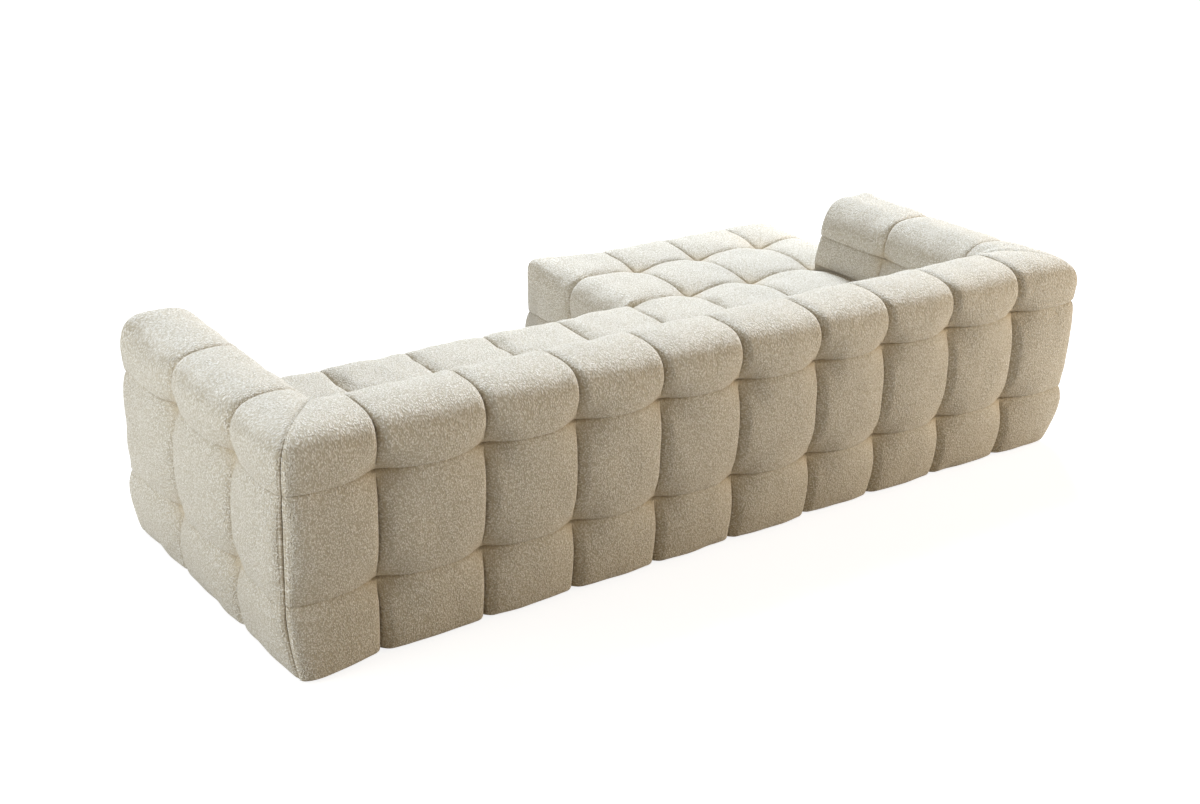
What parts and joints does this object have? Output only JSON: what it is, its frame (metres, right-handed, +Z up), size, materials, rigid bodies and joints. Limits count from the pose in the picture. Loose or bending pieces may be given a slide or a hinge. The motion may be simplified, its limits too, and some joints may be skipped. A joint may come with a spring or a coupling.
{
  "type": "tuxedo sectional sofa",
  "caption": "Low sectional sofa with arms as high as its back, quilted all over in looped fabric, with a chaise module that lifts off its connectors.",
  "frame": {"origin": "on the floor, under the middle of the whole sofa's box", "axes": "+Z up, the seat faces -Y, +X is to the sitter's left, so the chaise is at -X"},
  "size_m": [3.1736, 1.6677, 0.7262],
  "materials": {
    "boucle_fabric": "matte looped cream boucle",
    "plywood": "sawn birch plywood",
    "pine_board": "planed pine",
    "elastic_webbing": "woven elastic webbing",
    "dust_cloth": "black spunbond cloth",
    "glide_plastic": "matte black plastic",
    "connector_steel": "zinc plated steel"
  },
  "bodies": {
    "sofa_module": {"sofa_arm_rib_1": "plywood", "sofa_arm_rib_2": "plywood", "sofa_arm_side_rail": "pine_board", "sofa_arm_top_rail": "pine_board", "sofa_arm_upholstery": "boucle_fabric", "sofa_back_middle_rail": "pine_board", "sofa_back_rib_1": "plywood", "sofa_back_rib_2": "plywood", "sofa_back_rib_3": "plywood", "sofa_back_top_rail": "pine_board", "sofa_back_upholstery": "boucle_fabric", "sofa_centre_bearer": "pine_board", "sofa_dust_cover": "dust_cloth", "sofa_front_keeper": "connector_steel", "sofa_front_rail": "pine_board", "sofa_glide_1": "glide_plastic", "sofa_glide_2": "glide_plastic", "sofa_glide_3": "glide_plastic", "sofa_glide_4": "glide_plastic", "sofa_glide_5": "glide_plastic", "sofa_rear_keeper": "connector_steel", "sofa_rear_rail": "pine_board", "sofa_seat_rear_rail": "pine_board", "sofa_seat_upholstery": "boucle_fabric", "sofa_split_side_rail": "pine_board", "sofa_webbing_cross_1": "elastic_webbing", "sofa_webbing_cross_2": "elastic_webbing", "sofa_webbing_long_1": "elastic_webbing", "sofa_webbing_long_2": "elastic_webbing", "sofa_webbing_long_3": "elastic_webbing", "sofa_webbing_long_4": "elastic_webbing", "sofa_webbing_long_5": "elastic_webbing"},
    "chaise_module": {"chaise_arm_rib_1": "plywood", "chaise_arm_rib_2": "plywood", "chaise_arm_side_rail": "pine_board", "chaise_arm_top_rail": "pine_board", "chaise_arm_upholstery": "boucle_fabric", "chaise_back_middle_rail": "pine_board", "chaise_back_rib_1": "plywood", "chaise_back_rib_2": "plywood", "chaise_back_top_rail": "pine_board", "chaise_back_upholstery": "boucle_fabric", "chaise_cross_bearer": "pine_board", "chaise_dust_cover": "dust_cloth", "chaise_front_hook": "connector_steel", "chaise_front_rail": "pine_board", "chaise_glide_1": "glide_plastic", "chaise_glide_2": "glide_plastic", "chaise_glide_3": "glide_plastic", "chaise_glide_4": "glide_plastic", "chaise_rear_hook": "connector_steel", "chaise_rear_rail": "pine_board", "chaise_seat_rear_rail": "pine_board", "chaise_seat_upholstery": "boucle_fabric", "chaise_split_side_rail": "pine_board", "chaise_webbing_cross_1": "elastic_webbing", "chaise_webbing_cross_2": "elastic_webbing", "chaise_webbing_long_1": "elastic_webbing", "chaise_webbing_long_2": "elastic_webbing", "chaise_webbing_long_3": "elastic_webbing"}
  },
  "joints": [
    {"name": "module_lift", "type": "slide", "parent": "sofa_module", "child": "chaise_module", "axis": [0, 0, 1], "range_m": [0, 0.045]}
  ]
}
